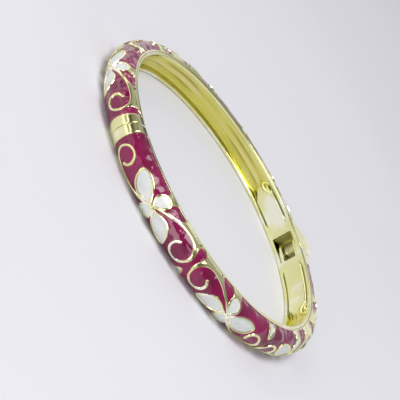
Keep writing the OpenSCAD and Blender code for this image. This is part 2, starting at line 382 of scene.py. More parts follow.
def goldMaterial():
    m, s = newMaterial("polishedPaleGold")
    at = s.node("ShaderNodeTexCoord", out=3)
    x, y, z = [s.node("ShaderNodeSeparateXYZ", None, {0: at}, out=k) for k in range(3)]
    hollow = s.node("ShaderNodeAttribute", {"attribute_name": "hollow"}, out=2)
    # the walls in the hinge's window
    side, far = s.maths("ABSOLUTE", z - band["half"] * mm), ((x - hinge["pin"] * mm) ** 2 + y * y) ** 0.5
    ear = side.past(gold["earFrom"] * mm, 0.02 * mm) * side.upTo(gold["earTo"] * mm, 0.01 * mm)
    ear = ear * far.upTo(gold["earR"] * mm, 0.05 * mm)
    cast = x.past(gold["castFrom"] * mm, 0.1 * mm) * side.upTo(gold["castHalf"] * mm, 0.02 * mm)
    cast = cast * y.past(0, 0.1 * mm) * s.maths("ABSOLUTE", y).upTo(gold["castLength"] * mm, 0.15 * mm)
    cast = (cast * (1 - ear)).limited()
    tone, wave, grain = noise(s, at, 160.0, 3.0), noise(s, at, 420.0, 2.0), noise(s, at, 2600.0, 4.0)
    rub = noise(s, at, 900.0, 5.0, Roughness=0.7)
    # long streaks round the ring in the hollow channel: bumps left by the casting, which also shift and
    # break up its painted reflection stripes
    alongRing = s.node("ShaderNodeCombineXYZ", None, {
        0: s.maths("ARCTAN2", y, x) * gold["streak"], 1: (x * x + y * y) ** 0.5, 2: z})
    streak = noise(s, alongRing, 1150.0, 2.5)
    plain = tone.between(0.35, 0.7).mixed(opaque(gold["colour"]), opaque(gold["deep"]))
    # where the tone is lowest the gold turns pale cream: painted highlights, placed at random
    plain = tone.between(0.46, 0.34).mixed(plain, opaque(gold["pale"]))
    lowerLip, width = (band["half"] - armBody["channelHalf"]) * mm, 2 * armBody["channelHalf"] * mm
    across = (z - lowerLip) / width + (streak - 0.5) * gold["rowWander"]
    rows = s.node("ShaderNodeValToRGB", {"stops": gold["rows"]}, {0: across})
    groove = s.node("ShaderNodeAttribute", {"attribute_name": "groove"}, out=2)
    # in the hollow the gold gets the olive and the stripes: painted shade and painted reflections
    inside = streak.between(0.42, 0.68).mixed(rows, opaque(gold["channel"]))
    colour = (hollow.between(0.05, 0.6) * 0.9).mixed(plain, inside)
    # the grooves beside the pad are painted dark: painted shade
    colour = groove.between(0.25, 0.75).mixed(colour, opaque(gold["groove"]))
    colour = cast.mixed(colour, opaque(gold["window"]))
    roughness = gold["roughness"] + rub.between(0.4, 0.75) * 0.07 + grain * 0.02 + hollow * 0.06
    roughness = roughness + cast * gold["castRoughness"]
    height = wave * 0.10 + grain * 0.012 + streak * hollow * 0.5
    bump = bumpOf(s, height, 0.35, 0.2)
    finishMaterial(s, Base_Color=colour, Metallic=1.0, Roughness=roughness, Normal=bump)
    return m


crimson = {
    "light": (0.34, 0.008, 0.10),
    "dark": (0.15, 0.002, 0.038),
    "roughness": 0.05,
    "coat": 0.32,
    "rippleScale": 430.0,
    "rippleBump": 0.58,
}


def crimsonMaterial():
    m, s = newMaterial("crimsonEnamel")
    at = s.node("ShaderNodeTexCoord", out=3)
    cloud, speck = noise(s, at, 260.0, 3.0), noise(s, at, 5200.0, 2.0)
    ripple = noise(s, at, crimson["rippleScale"], 0.4, Distortion=0.7)
    near = s.node("ShaderNodeAttribute", {"attribute_name": "nearWire"}, out=2)
    # the crimson varies in a random cloud, and is lighter near the wires where it creeps up them: painted
    # sheen
    shade = (cloud.between(0.3, 0.72) * 0.7 + near * 0.3).limited()
    colour = shade.mixed(opaque(crimson["dark"]), opaque(crimson["light"]))
    bump = bumpOf(s, ripple + speck * 0.002, crimson["rippleBump"], 1.0)
    finishMaterial(s, Base_Color=colour, Roughness=crimson["roughness"] + cloud * 0.04, Normal=bump,
                   Coat_Weight=crimson["coat"], Coat_Roughness=0.03, IOR=1.48)
    return m


white = {
    "light": (0.82, 0.83, 0.80),
    "dark": (0.71, 0.73, 0.71),
    "roughness": 0.2,
    "coat": 0.12,
}


def whiteMaterial():
    m, s = newMaterial("whiteEnamel")
    at = s.node("ShaderNodeTexCoord", out=3)
    cloud, ripple = noise(s, at, 420.0, 3.0), noise(s, at, 650.0, 1.5)
    colour = cloud.between(0.3, 0.7).mixed(opaque(white["dark"]), opaque(white["light"]))
    bump = bumpOf(s, ripple, 0.4, 0.4)
    finishMaterial(s, Base_Color=colour, Roughness=white["roughness"] + cloud * 0.06, Normal=bump,
                   Coat_Weight=white["coat"], Coat_Roughness=0.08, IOR=1.5)
    return m


# a dark olive metal, darker than the gold; through the gaps between the spring's turns it shows as painted
# shade
pinSteel = {"colour": (0.34, 0.31, 0.16), "worn": (0.46, 0.42, 0.22), "roughness": 0.3}


def pinMaterial():
    m, s = newMaterial("pinSteel")
    rub = noise(s, s.node("ShaderNodeTexCoord", out=3), 1400.0, 3.0)
    colour = rub.between(0.4, 0.6).mixed(opaque(pinSteel["colour"]), opaque(pinSteel["worn"]))
    finishMaterial(s, Base_Color=colour, Metallic=1.0, Roughness=pinSteel["roughness"] + rub * 0.1,
                   Normal=bumpOf(s, rub, 0.2, 0.05))
    return m


# paler and whiter than the band's gold, so that the coil shows bright in its dark slot: painted light
springGold = {"light": (1.0, 0.98, 0.72), "dark": (0.92, 0.88, 0.52), "roughness": 0.32}


def springMaterial():
    m, s = newMaterial("springWire")
    at = s.node("ShaderNodeTexCoord", out=3)
    tone, drawn = noise(s, at, 900.0, 2.0), noise(s, at, 5200.0, 3.0)
    colour = tone.between(0.35, 0.65).mixed(opaque(springGold["light"]), opaque(springGold["dark"]))
    finishMaterial(s, Base_Color=colour, Metallic=1.0, Roughness=springGold["roughness"] + drawn * 0.08,
                   Normal=bumpOf(s, drawn, 0.3, 0.03))
    return m


pattern = {
    # centre lines of the scrolls from a flower's centre along the rim and into their curl, mm: the upper
    # ones, the lower ones and the one next to each collar
    "upperScroll": [(0.45, 0.4), (1.6, 1.15), (3.2, 2.05), (4.8, 2.8), (6.4, 3.25), (7.8, 3.4), (9, 3.15),
                    (10, 2.45), (10.65, 1.45), (10.8, 0.4), (10.45, -0.7), (9.6, -1.5), (8.5, -1.7),
                    (7.5, -1.3), (6.95, -0.45), (7, 0.5), (7.6, 1.2)],
    "lowerScroll": [(0.45, 0.4), (1.6, 1.15), (3.2, 2.05), (4.8, 2.8), (6.4, 3.25), (7.8, 3.4), (9, 3.2),
                    (10, 2.6), (10.55, 1.75), (10.6, 0.8), (10.2, -0.1), (9.4, -0.75), (8.4, -0.85),
                    (7.5, -0.4), (7.15, 0.4), (7.4, 1.2)],
    "endScroll": [(0.45, 0.4), (1.6, 1.15), (3.2, 2.05), (5, 2.85), (7, 3.35), (9, 3.4), (10.6, 3.05),
                  (11.7, 2.2), (12.15, 1.2), (12, 0.2), (11.4, -0.6), (10.5, -1), (9.5, -0.95), (8.7, -0.4),
                  (8.35, 0.4), (8.6, 1.25), (9.3, 1.9)],
    "shoulder": {"upperScroll": (10.4, 2.1), "lowerScroll": (10.3, 2.3)},
    "shoulderWidth": 0.4,
    "shoulderReach": 2.2,
    "waver": 0.08,        # share by which a scroll's wire wavers in width, three half waves along it
    "curlEnd": (12, 0.15),  # it widens by this share over its last points
    # its rounded tip: distance past the last point and share of the width
    "tip": [(0.1, 1.0), (0.18, 0.7), (0.22, 0.3)],
    # the leaf between a scroll's shoulder and the rim, and the stem over a short petal
    "leaf": [(3.4, 2.25), (5.3, 4.1), (4.9, 5.6), (11.3, 5.6), (11, 4.5), (10.65, 3.6), (10.85, 2.3),
             (10.2, 2.2), (9.2, 3.1), (7.8, 3.4), (6.2, 3.2), (4.8, 2.8)],
    "endLeaf": [(3.4, 2.2), (5.6, 4.1), (4.9, 5.6), (12.4, 5.6), (12.1, 4.5), (11.8, 3.5), (12, 2),
                (11.5, 2.3), (10.4, 3.05), (9, 3.4), (7, 3.35), (5, 2.85)],
    "stem": [(-0.8, 2.9), (-0.55, 4), (-0.9, 5.6), (2.3, 5.6), (1.8, 4.2), (1.6, 2.9)],
    # rows of a petal: distance from the flower's centre and where its two edges are there
    "longPetal": [(0.75, -0.15, 0.15), (1.4, -0.7, 0.5), (2.2, -1.35, 1.05), (3.1, -1.85, 1.45),
                  (4, -2.1, 1.5), (4.9, -2.2, 1.15), (5.7, -2.1, 0.5), (6.3, -1.85, -0.3),
                  (6.6, -1.6, -0.9)],
    "shortPetal": [(0.3, -0.3, 0.45), (0.9, -0.9, 1.05), (1.6, -1.2, 1.5), (2.3, -1.15, 1.7),
                   (2.9, -0.85, 1.6), (3.3, -0.35, 1.2), (3.5, 0.15, 0.75)],
    "slim": 0.09,         # the wire runs this far inside them
    "lean": 12,           # degrees that the long petals on the upper side lean away from the scroll
    "bud": {"width": 1.0, "length": 3.6},
    "leafLevel": 0.01,
    "leafDish": 0.05,     # how far a leaf's middle lies lower
    "leafDrop": 0.34,     # how far its edge falls away to the cell's floor
    "leafStep": 0.13,     # mesh spacing of the leaves
}


def smoothPath(path, steps, closed=False):
    # the same curve through the points as the part's
    p = np.array(path, float)
    n, out = len(p), []
    for i in range(n if closed else n - 1):
        near = [i + k for k in (-1, 0, 1, 2)]
        a, b, c, d = p[[k % n if closed else min(max(k, 0), n - 1) for k in near]]
        for k in range(steps):
            t = k / steps
            out.append(0.5 * (2 * b + (c - a) * t + (2 * a - 5 * b + 4 * c - d) * t * t
                              + (3 * b - a - 3 * c + d) * t ** 3))
    return np.array(out if closed else out + [p[-1]])


def petalOutline(kind, steps=4):
    rows = pattern["shortPetal" if kind == "shortPetal" else "longPetal"]
    slim = pattern["slim"]
    points = [(x, high - slim) for x, low, high in rows] + [(x, low + slim) for x, low, high in rows[::-1]]
    if kind == "shortPetal":
        points = [(y, x) for x, y in points]
    outline = smoothPath(points, steps, closed=True)
    return turned(outline, -pattern["lean"]) if kind == "leaningPetal" else outline


def budPoint(t, edge, grow):
    # t runs from under the rim, where the bud starts, to its tip, and edge from -1 to 1 across it
    b, under = pattern["bud"], 0.3
    h = b["width"] * (1 - np.clip(t, 0, 1) ** 3) ** 0.75 + grow * (t < 1)
    return np.stack([edge * h, cellHalf + under - t * (b["length"] + under + 2 * grow)], -1)


def budOutline(grow, n=24):
    # from the rim round the tip and back to the rim
    t = np.sin(np.linspace(0.12, math.pi / 2, n))
    return np.concatenate([budPoint(t, 1.0, grow), budPoint(t[::-1][1:], -1.0, grow)])


def leafOutline(kind):
    return np.array(pattern[kind], float) if kind == "stem" else smoothPath(pattern[kind], 3, closed=True)


def flowerPlace(i):
    # the middle of flower i along the band, or halfway to the next one at i + 0.5
    return (band["first"] + i * band["pitch"]) * perDegree


def halfFlowers(arm):
    # where each half flower sits, its direction along the band, its side of it, and its own pieces
    for i in range(band["flowers"]):
        for side in (1, -1):
            upper, last = side == (1 if arm == "front" else -1), i == 0 and side < 0
            scroll = "endScroll" if last else "upperScroll" if upper else "lowerScroll"
            kinds = {"scroll": scroll, "leaf": "endLeaf" if last else "leaf", "stem": "stem",
                     "long": "leaningPetal" if upper else "longPetal", "short": "shortPetal"}
            yield flowerPlace(i), side * (-1) ** i, side, kinds


def budPlaces():
    return [(flowerPlace(i + 0.5), -(-1) ** i) for i in range(band["flowers"] - 1)]


def inFlower(points, at, way, side):
    return np.asarray(points) * [way, side] + [at, 0]


def spread(arm, make, part):
    # makes a half flower's piece once for each kind and copies it to every place, turned or mirrored
    made, done = {}, []
    for at, way, side, kinds in halfFlowers(arm):
        kind = kinds[part]
        if kind not in made:
            made[kind] = make(kind)
        piece = copyOf(made[kind])
        writeCo(piece, readCo(made[kind]) * [way, side, 1] + [at, 0, 0])
        if way * side < 0:
            piece.data.flip_normals()
        done.append(piece)
    for o in made.values():
        bpy.data.objects.remove(o)
    return done


def scrollWire(kind):
    # thicker on its outer side at the shoulder, with a rounded tip in the curl
    path = smoothPath(pattern[kind], 5)
    n = len(path)
    along = np.gradient(path, axis=0)
    along /= np.linalg.norm(along, axis=1)[:, None]
    extra = np.zeros(n)
    if kind in pattern["shoulder"]:
        away = np.linalg.norm(path - pattern["shoulder"][kind], axis=1)
        extra = pattern["shoulderWidth"] * np.maximum(0, 1 - (away / pattern["shoulderReach"]) ** 2)
    path = path + np.column_stack([-along[:, 1], along[:, 0]]) * extra[:, None] / 2
    k = np.arange(n)
    last, wider = pattern["curlEnd"]
    taper = 1 + extra / band["scrollWire"] + pattern["waver"] * np.sin(3 * math.pi * k / n)
    taper = taper + wider * np.maximum(0, k - n + last) / last
    tip = [path[-1] + along[-1] * past for past, share in pattern["tip"]]
    widths = [*taper, *(share for past, share in pattern["tip"])]
    return addWire(np.concatenate([path, tip]), band["scrollWire"], taper=widths)


def petalWire(kind):
    return addWire(petalOutline(kind), band["wire"], closed=True)


def edgeDistance(points, line, closed=True):
    # how far each point is from an outline or a line
    a, b = (line, np.roll(line, -1, axis=0)) if closed else (line[:-1], line[1:])
    d = b - a
    best = np.full(len(points), np.inf)
    for p0, v in zip(a, d):
        w = points - p0
        t = np.clip(w @ v / max(v @ v, 1e-12), 0, 1)
        best = np.minimum(best, ((w - t[:, None] * v) ** 2).sum(1))
    return np.sqrt(best)


def depthIn(points, outline):
    # distance to an outline, negative inside it
    x, y = points[:, 0], points[:, 1]
    inside = np.zeros(len(points), bool)
    for (x0, y0), (x1, y1) in zip(outline, np.roll(outline, -1, axis=0)):
        if y0 != y1:
            inside ^= ((y0 > y) != (y1 > y)) & (x < (x1 - x0) * (y - y0) / (y1 - y0) + x0)
    d = edgeDistance(points, outline)
    return np.where(inside, -d, d)


def leafPlate(kind):
    # a smooth plate of metal that rises out of the cell's floor inside the outline
    outline, margin = leafOutline(kind), 0.25
    low, high = outline.min(0) - margin, np.minimum(outline.max(0) + margin, [np.inf, cellHalf + 0.06])
    nx, ny = np.ceil((high - low) / pattern["leafStep"]).astype(int)
    obj, along, across = addGrid(int(nx), int(ny))
    flat = low + np.column_stack([along, across]) * (high - low)
    d = depthIn(flat, outline)
    h = pattern["leafLevel"] - pattern["leafDish"] * step(-d, 0.2, 0.9)
    h = h - pattern["leafDrop"] * step(d, -0.06, 0.14)
    if kind == "stem":
        # it ends at the short petal
        h = h - 0.3 * step(-depthIn(flat, petalOutline("shortPetal")), 0.02, 0.2)
    writeCo(obj, np.column_stack([flat, h]))
    thicken(obj, 0.06)
    return obj


heartBeads = {
    "beads": 6,
    "ring": 0.46,          # radius of the circle that they stand on
    "bead": (0.17, 0.17, 0.14),
    "sunk": 0.03,          # how far they lie lower than the one in the middle
    "middleBead": (0.24, 0.24, 0.19),
    "bossR": 0.6,
    "bossHeight": 0.3,
    "bossTop": -0.08,
    "bossEdge": 0.1,
}


def addBead(size, at):
    deselect()
    bpy.ops.mesh.primitive_uv_sphere_add(segments=14, ring_count=8, radius=1)
    bead = bpy.context.active_object
    writeCo(bead, readCo(bead) * size + at)
    return bead


def flowerHeart():
    # a low boss with a ring of small beads round a larger one
    b = heartBeads
    beads = [addBead(b["middleBead"], (0, 0, 0))]
    for i in range(b["beads"]):
        a = i * 2 * math.pi / b["beads"] + 0.3
        beads.append(addBead(b["bead"], (b["ring"] * math.cos(a), b["ring"] * math.sin(a), -b["sunk"])))
    circle = [(math.cos(a), math.sin(a)) for a in np.linspace(0, 2 * np.pi, 25)[:-1]]
    boss = addOutline(b["bossR"] * np.array(circle), b["bossHeight"])
    bevelEdges(boss, b["bossEdge"], 3, 50)
    writeCo(boss, readCo(boss) + [0, 0, b["bossTop"] - b["bossHeight"]])
    return joinAll([boss] + beads)


def reliefPieces(arm):
    pieces = spread(arm, scrollWire, "scroll")
    for part in ("long", "short"):
        pieces += spread(arm, petalWire, part)
    for part in ("leaf", "stem"):
        pieces += spread(arm, leafPlate, part)
    heart = flowerHeart()
    co = readCo(heart)
    for i in range(band["flowers"]):
        piece = copyOf(heart)
        writeCo(piece, co + [flowerPlace(i), 0, 0])
        pieces.append(piece)
    bpy.data.objects.remove(heart)
    for at, side in budPlaces():
        pieces.append(addWire(inFlower(budOutline(-0.06), at, 1, side), band["wire"]))
    return pieces


armBody = {
    "channelDepth": 1.2,
    "channelHalf": 2.35,
    "rearPad": 31.0,     # degrees from the hinge where the channel starts to rise to the pad
    "frontPad": 42.0,
    "runOut": 3.4,       # mm over which it rises, first in the middle and
    "tongue": 3.2,       # this much later at its sides
    "padGroove": 0.16,   # depth of the grooves that go on beside the pad
    "edge": 0.17,        # rounding of the inner edges
    "lip": 0.07,         # how far the rim lies below its bright lip
    "fade": 0.8,         # mm over which it does so at the ends of the enamel
    "endMiddle": 30.9,   # radius of the middle of the end face
    # the end face's rounded edge: mm along the arm and how far in
    "endEdge": [(0, 0.16), (0.03, 0.07), (0.09, 0.015), (0.16, 0)],
    "rings": 380,
}


def armProfile():
    # once round the section: outer points as (v, h in the cells), the others as (r, z, channel)
    inner, e = band["inner"], armBody["edge"]
    low, side = -armBody["lip"], band["half"] - armBody["lip"]
    floor = [(v, -0.3) for v in np.linspace(0, cellHalf - 0.01, 16)]
    lip = [(cellHalf + past, h) for past, h in (
        (0, -0.1), (0.02, -0.03), (0.05, -0.006), (0.09, 0), (0.13, 0), (0.17, -0.012), (0.21, -0.04),
        (0.25, low), (0.5, low))]
    outer = [(-v, h) for v, h in reversed(floor[1:] + lip)] + floor + lip
    corner = [(inner + e + 0.06, side)]
    for a in np.linspace(0, math.pi / 2, 8):
        corner.append((inner + e - e * math.sin(a), side - e + e * math.cos(a)))
    # the channel's wall rises over its outer 0.45 mm, and its floor is a little hollow
    channel, wide, bowl = [], armBody["channelHalf"], 0.18
    for z in [2.6, 2.48, 2.4, 2.35, 2.3, 2.24, 2.16, 2.05, 1.9, 1.7, 1.4, 1.0, 0.5, 0.0]:
        share = float(step(wide - z, 0, 0.45))
        channel.append((inner, z, share * (1 - bowl) + bowl * (1 - (z / wide) ** 2) * (share > 0)))
    inside = [(r, z, 0) for r, z in corner] + channel
    inside += [(r, -z, c) for r, z, c in reversed(inside[:-1])]
    return np.array(outer), np.array(inside)


def ringPlaces():
    # where the sweep's rings lie along the arm, close together at its edges
    collar = band["collar"]
    places = [band["gap"] / 2 + at for at in (0, *[at for at, inwards in armBody["endEdge"]], 0.3)]
    places += list(np.linspace(0.5, collar - 0.12, 8))
    places += [collar - 0.05, collar, collar + 0.02, cellStart, cellStart + 0.02]
    places += list(np.linspace(cellStart + 0.2, cellEnd - 0.1, armBody["rings"]))
    places += [cellEnd, cellEnd + 0.02] + list(np.linspace(cellEnd + 0.2, 180 * perDegree, 40))
    return np.array(places)


def outerRelief(u, v, h):
    # the cells are sunk between the collar and the hinge, and the collar stands out
    fade = armBody["fade"]
    inCell = ((u > cellStart + 0.01) & (u < cellEnd + 0.01)).astype(float)
    rimDrop = step(u, cellStart, cellStart + fade) * (1 - step(u, cellEnd - fade, cellEnd))
    proud = band["collarRise"] * (1 - step(u, band["collar"] - 0.1, band["collar"] + 0.01))
    h = h * np.where(np.abs(v) < cellHalf + 0.01, inCell, rimDrop)
    return h + proud * (1 - step(np.abs(v), arcLength - 0.9, arcLength))


def channelRelief(u, z, pad):
    # how much of the channel there is, and of the groove that runs on at each side of the pad
    across, end = np.abs(z), 180 * perDegree
    rise = (180 - pad) * perDegree
    rise = rise + armBody["tongue"] * np.minimum(across / armBody["channelHalf"], 1) ** 2
    hollow = step(u, band["collar"] + 1.6, band["collar"] + 3.2)
    hollow = hollow * (1 - step(u, rise, rise + armBody["runOut"]))
    groove = step(across, 1.8, 2.1) * (1 - step(across, 2.2, 2.45)) * step(u, rise - 3, rise + 1)
    return hollow, groove * (1 - step(u, end - 8, end - 4.5))


def closeEnds(obj):
    onlyActive(obj)
    bpy.ops.object.mode_set(mode="EDIT")
    bpy.ops.mesh.select_all(action="DESELECT")
    bpy.ops.mesh.select_mode(type="EDGE")
    bpy.ops.mesh.select_non_manifold()
    bpy.ops.mesh.edge_face_add()
    bpy.ops.mesh.select_all(action="SELECT")
    bpy.ops.mesh.normals_make_consistent(inside=False)
    bpy.ops.object.mode_set(mode="OBJECT")


def armSweep(pad):
    # the whole arm as one swept tube: collar, cells, rims and channel
    outer, inside = armProfile()
    places = ringPlaces()
    nx, ny = len(places) - 1, len(outer) + len(inside)
    obj, along, across = addGrid(nx, ny)
    i, j = np.rint(along * nx).astype(int), np.rint(across * ny).astype(int) % ny
    u, onOuter = places[i], j < len(outer)
    v, h = outer[np.where(onOuter, j, 0)].T
    r, z = onBand(v, outerRelief(u, v, h))
    innerR, innerZ, share = inside[np.where(onOuter, 0, j - len(outer))].T
    hollow, groove = channelRelief(u, innerZ, pad)
    depth = np.maximum(share * hollow * armBody["channelDepth"], groove * armBody["padGroove"])
    r, z = np.where(onOuter, r, innerR + depth), np.where(onOuter, z, innerZ)
    # the material reads these layers to paint shade and reflection stripes in the channel, and shade in the
    # grooves
    addLayer(obj, "hollow", np.where(onOuter, 0, share * hollow))
    addLayer(obj, "groove", np.where(onOuter, 0, groove))
    middle = armBody["endMiddle"]
    shrink = np.interp(u - band["gap"] / 2, *zip(*armBody["endEdge"])) / np.hypot(middle - r, z)
    r, z = r + (middle - r) * shrink, z * (1 - shrink)
    # the first ring lies within the end face, and a face fills it
    r, z = np.where(i == 0, middle + (r - middle) * 0.55, r), np.where(i == 0, z * 0.55, z)
    angle = math.pi + u / ringR
    writeCo(obj, np.column_stack([r * np.cos(angle), r * np.sin(angle), z]))
    outward(obj, merge=0.0004)
    closeEnds(obj)
    return obj


hinge = {
    "pin": 31.95,         # radius of the pin's axis
    "pinR": 0.75,
    "cheekR": 2.9,        # the rear arm's two cheeks: radius, thickness and rounding
    "cheekT": 0.85,
    "cheekEdge": 0.16,
    "cheekInset": 0.008,  # how far its outer face lies inside the band's side
    # radius and degrees, from the hinge's line, where a cheek's or an ear's straight flanks start
    "cheekRoots": ((30.74, -10), (29.12, -7)),
    "cheekRoom": 0.12,    # between the cheeks' rounds and the front arm
    "earR": 2.2,          # the front arm's two ears, the same
    "earT": 0.85,
    "earEdge": 0.24,
    "earInset": 0.01,
    "earRoots": ((32.4, -8), (29.1, -8)),
    "play": 0.06,         # between a cheek and an ear
    "window": 2.55,       # the rear arm's edge of the window
    "web": 3.3,           # the front arm's edge of it
    "back": (2.5, 2.82),  # radii of the curved wall behind the spring
    "backAngles": (-12, -84),
    "tongueAngles": (72, -14),
    "tonguePlay": 0.09,   # between the tongue and an ear
    "springR": 1.23,
    "springWire": 0.32,
    "springLeg": 1.7,
    "springPlay": 0.05,
    "turns": 5,
}
cheekZ = band["half"] - hinge["cheekT"]
earZ = cheekZ - hinge["play"]


def cutAway(obj, cutters):
    for c in cutters:
        applyModifier(obj, "BOOLEAN", operation="DIFFERENCE", solver="EXACT", object=c)
        bpy.data.objects.remove(c)


def addBlock(low, high):
    deselect()
    bpy.ops.mesh.primitive_cube_add(size=1)
    o = bpy.context.active_object
    low, high = np.array(low, float), np.array(high, float)
    writeCo(o, (readCo(o) + 0.5) * (high - low) + low)
    return o


def addDisc(r, x, z0, z1, sides=96):
    deselect()
    bpy.ops.mesh.primitive_cylinder_add(vertices=sides, radius=r, depth=z1 - z0)
    o = bpy.context.active_object
    writeCo(o, readCo(o) + [x, 0, (z0 + z1) / 2])
    return o


def touchPoint(p, c, r, s):
    # where the line from p touches the circle, on its left (1) or right (-1)
    v = np.array(p) - c
    d = np.linalg.norm(v)
    return c + turned(v / d * r, s * math.degrees(math.acos(r / d)))


def polar(r, degrees):
    return np.array([r * math.cos(math.radians(degrees)), r * math.sin(math.radians(degrees))])


def knuckleOutline(r, roots):
    # the disc at the pin with straight flanks to its two roots, both on the arm's side (y < 0)
    c = np.array([hinge["pin"], 0.0])
    p, q = [polar(*root) for root in roots]
    a, b = touchPoint(p, c, r, 1), touchPoint(q, c, r, -1)
    start, stop = math.atan2(*(a - c)[::-1]), math.atan2(*(b - c)[::-1])
    if stop < start:
        stop += 2 * math.pi
    arc = [c + r * np.array([math.cos(t), math.sin(t)]) for t in np.linspace(start, stop, 40)]
    return [p] + arc + [q]


def addPlate(outline, z0, z1, edge):
    plate = addOutline(outline, z1 - z0)
    bevelEdges(plate, edge, 4)
    writeCo(plate, readCo(plate) + [0, 0, z0])
    return plate


def windowBack(ends, half):
    # a curved strip behind the spring, from one angle round the pin to another
    low, high = hinge["back"]
    arc = [polar(1, a) for a in np.linspace(*ends, 28)]
    points = [high * p for p in arc] + [low * p for p in arc[::-1]]
    wall = addOutline([p + [hinge["pin"], 0] for p in points], 2 * half)
    writeCo(wall, readCo(wall) - [0, 0, half])
    return wall


def makeArm(arm):
    body = armSweep(armBody["frontPad"] if arm == "front" else armBody["rearPad"])
    extra = []
    # the cuts reach from inside the ring to outside it, and past the arm's end and sides
    near, far, past = band["inner"] - 1, band["inner"] + 8, 6
    if arm == "front":
        room, inner = hinge["cheekR"] + hinge["cheekRoom"], earZ - hinge["earT"]
        cutAway(body, [addBlock((near, -hinge["web"], -earZ), (far, past, earZ)),
                       addDisc(room, hinge["pin"], earZ, past),
                       addDisc(room, hinge["pin"], -past, -earZ)])
        outline = knuckleOutline(hinge["earR"], hinge["earRoots"])
        outer = earZ - hinge["earInset"]
        for z0, z1 in ((inner, outer), (-outer, -inner)):
            extra.append(addPlate(outline, z0, z1, hinge["earEdge"]))
    else:
        cutAway(body, [addBlock((near, -hinge["window"], -cheekZ), (far, past, cheekZ))])
        outline = knuckleOutline(hinge["cheekR"], hinge["cheekRoots"])
        outer = band["half"] - hinge["cheekInset"]
        for z0, z1 in ((cheekZ, outer), (-outer, -cheekZ)):
            extra.append(addPlate(outline, z0, z1, hinge["cheekEdge"]))
        # the wall reaches from cheek to cheek and goes on as a tongue between the ears
        extra.append(windowBack(hinge["backAngles"], cheekZ + 0.05))
        extra.append(windowBack(hinge["tongueAngles"], earZ - hinge["earT"] - hinge["tonguePlay"]))
    for o in [body] + extra:
        placeOnArm(o, arm)
    relief = reliefPieces(arm)
    for o in relief:
        wrapOnRing(o, arm)
    piece = joinAll([body] + extra + relief)
    finishPiece(piece, arm + "Band", goldFinish, 38)
    applyModifier(piece, "WEIGHTED_NORMAL", mode="FACE_AREA", keep_sharp=True)
    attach(piece, arm + "_half")
    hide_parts(arm + "_arm")
    print(arm, "arm made", len(piece.data.polygons), "faces")


enamel = {
    "step": 0.155,       # mesh spacing, mm
    "rise": 0.07,        # how far it creeps up the wires
    "creep": 0.24,       # over this distance
    "scrollHalf": 0.25,  # half width of the scrolls' wires
    "under": 0.2,        # how far it sinks under the petals and leaves
    "wall": 0.12,
    "flowerReach": 13.5,  # along the band, for a half flower and
    "budReach": 2.5,      # for a bud
}


def makeField(arm):
    nx, ny = int((cellEnd - cellStart) / enamel["step"]), int(2 * cellHalf / enamel["step"])
    obj, along, across = addGrid(nx, ny)
    x, y = cellStart + along * (cellEnd - cellStart), (across * 2 - 1) * (cellHalf + 0.02)
    flat = np.column_stack([x, y])
    # nearest metal edge, and how far a point is from what the crimson leaves free
    edge = np.minimum(cellHalf - np.abs(y), np.minimum(x - cellStart, cellEnd - x))
    metal, free = np.maximum(edge, 0), np.full(len(flat), np.inf)
    wire = band["wire"] / 2
    for at, way, side, kinds in halfFlowers(arm):
        by = np.abs(x - at) < enamel["flowerReach"]
        scroll = inFlower(smoothPath(pattern[kinds["scroll"]], 3), at, way, side)
        d = edgeDistance(flat[by], scroll, False) - enamel["scrollHalf"]
        metal[by] = np.minimum(metal[by], np.maximum(d, 0))
        for part, thick in (("long", wire), ("short", wire), ("leaf", 0.0), ("stem", 0.0)):
            outline = petalOutline(kinds[part]) if thick else leafOutline(kinds[part])
            d = depthIn(flat[by], inFlower(outline, at, way, side))
            metal[by] = np.minimum(metal[by], np.maximum(np.abs(d) - thick, 0))
            free[by] = np.minimum(free[by], d)
    for at, side in budPlaces():
        by = np.abs(x - at) < enamel["budReach"]
        d = depthIn(flat[by], inFlower(budOutline(0.0), at, 1, side))
        metal[by] = np.minimum(metal[by], np.maximum(np.abs(d) - wire, 0))
        free[by] = np.minimum(free[by], d)
    near = np.exp(-metal / enamel["creep"])
    h = band["enamelLevel"] + enamel["rise"] * near
    h = h - enamel["under"] * (1 - step(free, -0.22, -0.08))
    writeCo(obj, np.column_stack([flat, h]))
    # the material reads it to paint a lighter sheen near the wires
    addLayer(obj, "nearWire", near)
    thicken(obj, enamel["wall"])
    wrapOnRing(obj, arm)
    finishPiece(obj, arm + "Crimson", crimsonFinish, 60)
    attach(obj, arm + "_half")
    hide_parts(arm + "_enamel")
    print(arm, "crimson enamel made", len(obj.data.polygons), "faces")


petalEnamel = {
    "level": -0.085,
    "rise": 0.045,       # how far it creeps up the wires
    "creep": 0.28,       # over this distance in the petals and
    "budCreep": 0.16,    # over this share of the width in the buds
    "wall": 0.1,
}


def petalFill(kind):
    # rings from the petal's outline to its middle, a little higher along the wire
    outline = petalOutline(kind, 3)
    n = len(outline)
    obj, along, across = addGrid(n, 10)
    rim = outline[np.rint(along * n).astype(int) % n]
    middle = outline.mean(0)
    inwards = across ** 1.3
    flat = rim + (middle - rim) * inwards[:, None]
    wire = np.exp(-inwards * np.linalg.norm(rim - middle, axis=1) / petalEnamel["creep"])
    writeCo(obj, np.column_stack([flat, petalEnamel["level"] + petalEnamel["rise"] * wire]))
    thicken(obj, petalEnamel["wall"], merge=0.0005)
    return obj


def budFill(at, side):
    obj, along, across = addGrid(26, 10)
    t, edge = 0.08 + 0.92 * np.sin(along * math.pi / 2), across * 2 - 1
    flat = budPoint(t, edge, -0.02)
    flat[:, 1] = np.minimum(flat[:, 1], cellHalf + 0.01)
    wire = np.exp(-np.minimum(1 - np.abs(edge), (1 - t) * 3) / petalEnamel["budCreep"])
    h = petalEnamel["level"] + petalEnamel["rise"] * wire
    writeCo(obj, np.column_stack([inFlower(flat, at, 1, side), h]))
    thicken(obj, petalEnamel["wall"], merge=0.0005)
    return obj


